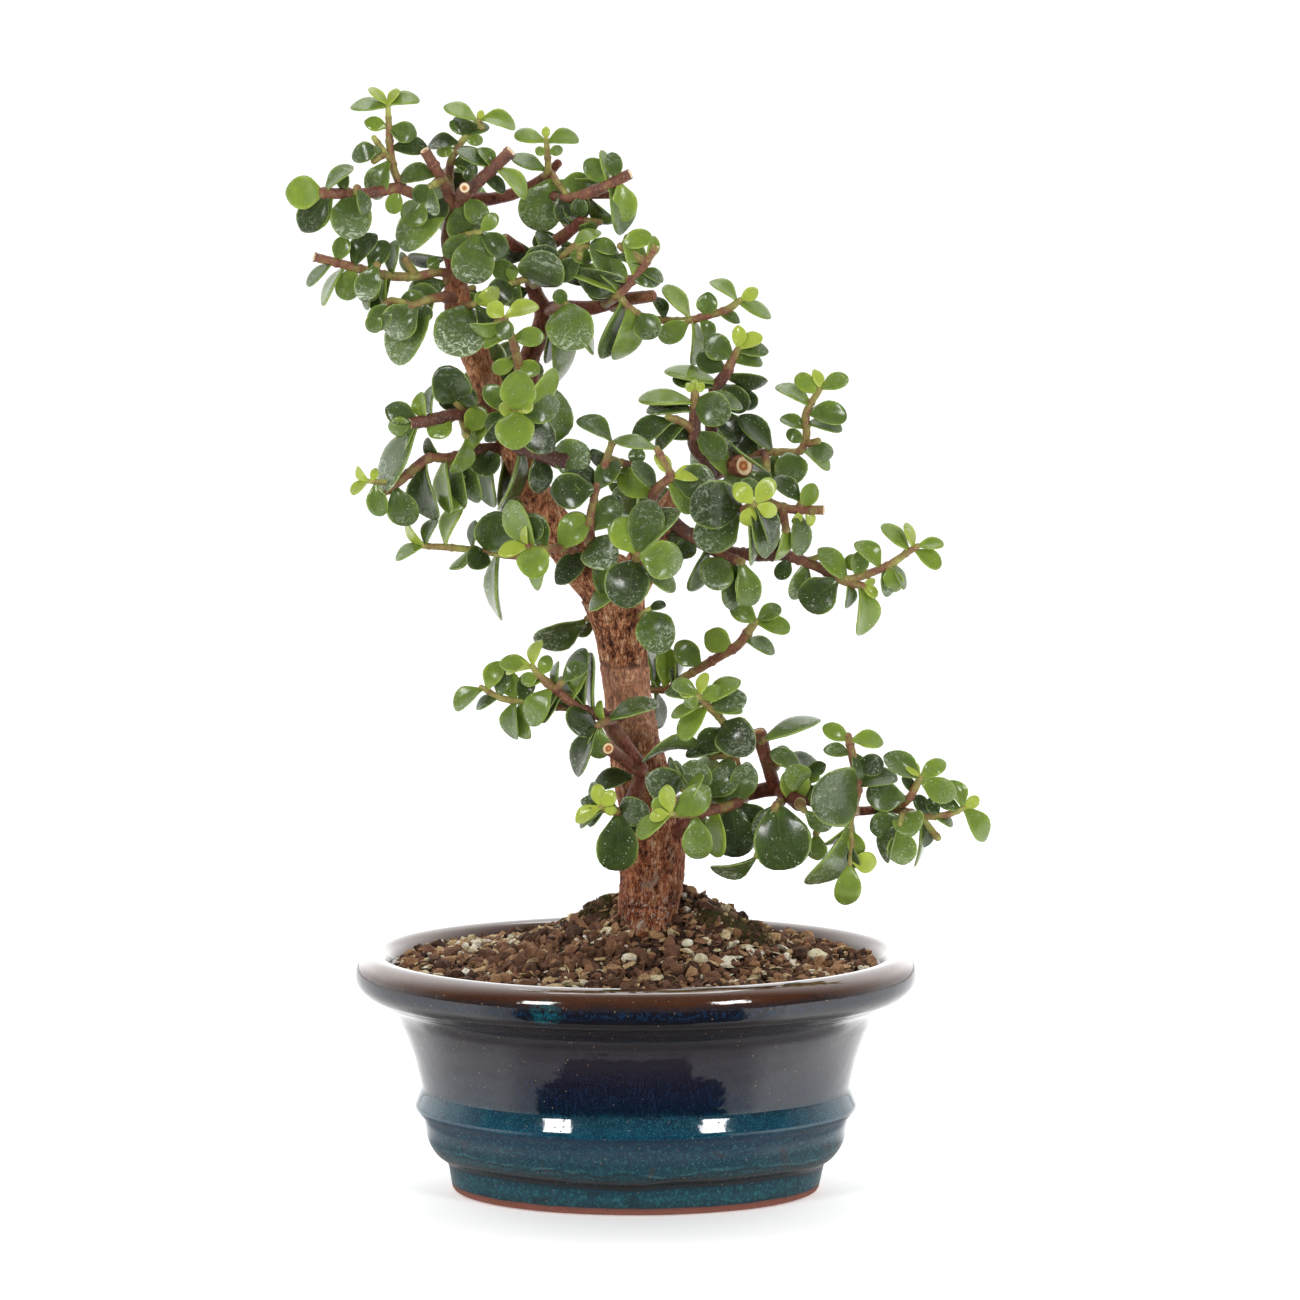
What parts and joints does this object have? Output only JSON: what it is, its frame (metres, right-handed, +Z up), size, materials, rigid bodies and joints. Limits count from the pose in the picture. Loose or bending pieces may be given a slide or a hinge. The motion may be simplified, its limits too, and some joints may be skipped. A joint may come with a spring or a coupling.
{
  "type": "dwarf jade bonsai",
  "caption": "Dwarf jade bonsai with a leaning woody trunk and fleshy round-leaved shoots, in a glazed oval pot with soil, moss and pumice.",
  "frame": {"origin": "centre of the pot's underside, in the plane of the foot ring that the pot stands on", "axes": "+Z up along the pot's height, +X along the pot's long side, and the plant's front towards -Y"},
  "size_m": [0.2448, 0.16, 0.3919],
  "materials": {
    "foliage": "waxy, softly glossy leaf",
    "bark": "rough flaking bark",
    "glaze": "glossy dark blue glaze",
    "soil": "crumbly matt earth",
    "moss": "matt moss",
    "pumice": "porous matt stone",
    "screen": "matt plastic mesh"
  },
  "bodies": {
    "root": {"drain_screen_left": "screen", "drain_screen_right": "screen", "moss_left": "moss", "moss_right": "moss", "pot": "glaze", "pumice_grain_1": "pumice", "pumice_grain_2": "pumice", "pumice_grain_3": "pumice", "pumice_grain_4": "pumice", "shoot_back_centre": "foliage", "shoot_back_crown": "foliage", "shoot_back_low": "foliage", "shoot_back_right": "foliage", "shoot_back_upper": "foliage", "shoot_centre": "foliage", "shoot_centre_left": "foliage", "shoot_centre_top": "foliage", "shoot_centre_up": "foliage", "shoot_cross_right": "foliage", "shoot_crown": "foliage", "shoot_crown_left": "foliage", "shoot_crown_right": "foliage", "shoot_leader_disc": "foliage", "shoot_leader_front": "foliage", "shoot_leader_left": "foliage", "shoot_left_low": "foliage", "shoot_left_mid": "foliage", "shoot_left_trunk": "foliage", "shoot_left_upper": "foliage", "shoot_lime_front": "foliage", "shoot_low_big": "foliage", "shoot_low_front": "foliage", "shoot_low_left": "foliage", "shoot_low_left_stem": "foliage", "shoot_low_mid": "foliage", "shoot_low_right": "foliage", "shoot_low_right_mid": "foliage", "shoot_low_right_tip": "foliage", "shoot_low_rosette": "foliage", "shoot_low_upper": "foliage", "shoot_mid_front": "foliage", "shoot_right_inner": "foliage", "shoot_right_low": "foliage", "shoot_right_mid": "foliage", "shoot_right_tip": "foliage", "shoot_right_top": "foliage", "shoot_right_up": "foliage", "shoot_rosette_front": "foliage", "shoot_second_front": "foliage", "shoot_star_left": "foliage", "shoot_star_low": "foliage", "shoot_top_left": "foliage", "shoot_top_right": "foliage", "shoot_top_right_tip": "foliage", "shoot_trunk_right": "foliage", "shoot_upper_right": "foliage", "shoot_upper_right_tip": "foliage", "soil": "soil", "trunk": "bark"}
  },
  "joints": []
}
